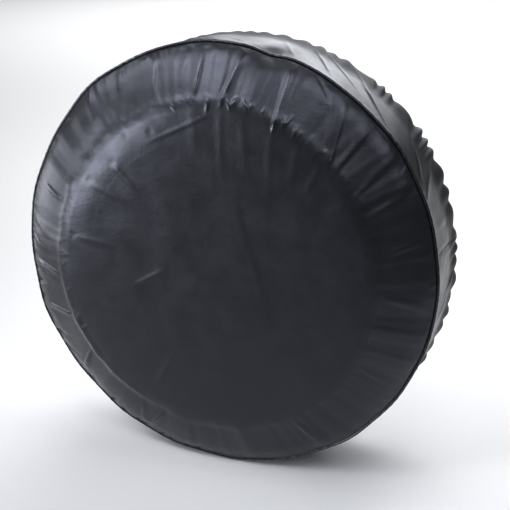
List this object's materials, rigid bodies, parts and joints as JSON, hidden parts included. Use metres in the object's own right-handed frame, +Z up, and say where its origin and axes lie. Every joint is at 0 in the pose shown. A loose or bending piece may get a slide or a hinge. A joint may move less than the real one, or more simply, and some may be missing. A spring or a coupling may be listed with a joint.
{
  "type": "spare tire cover",
  "caption": "Glossy black vinyl spare tire cover: a flat round front piped to a tread band, whose gathered back edge an elastic hem draws in behind the tire.",
  "frame": {"origin": "The centre of the tire that the cover is pulled over: on the axis of the round cover, half way through the tire's width.", "axes": "+Y leaves through the open back along the tire's axle, so the closed front faces -Y. +Z is up as the cover hangs on a vertical spare. +X is to the right of a viewer who faces the closed front."},
  "size_m": [0.7374, 0.2317, 0.7374],
  "materials": {
    "vinyl": "black vinyl-coated fabric with a fine grain and a glossy face",
    "piping_vinyl": "the same vinyl cut on the bias, pulled smooth round a cord",
    "filler_cord": "matte off-white polyester cord",
    "elastic": "black braided shock cord",
    "zinc_plated_steel": "bright zinc-plated crimp sleeve",
    "thread": "black bonded polyester thread"
  },
  "bodies": {
    "root": {"face_panel": "vinyl", "tread_strip_upper": "vinyl", "tread_strip_lower": "vinyl", "piping_wrap": "piping_vinyl", "piping_cord": "filler_cord", "hem_elastic": "elastic", "elastic_crimp_sleeve": "zinc_plated_steel", "front_seam_thread": "thread", "hem_needle_thread": "thread", "hem_bobbin_thread": "thread", "join_thread_right": "thread", "join_thread_left": "thread"}
  },
  "joints": []
}
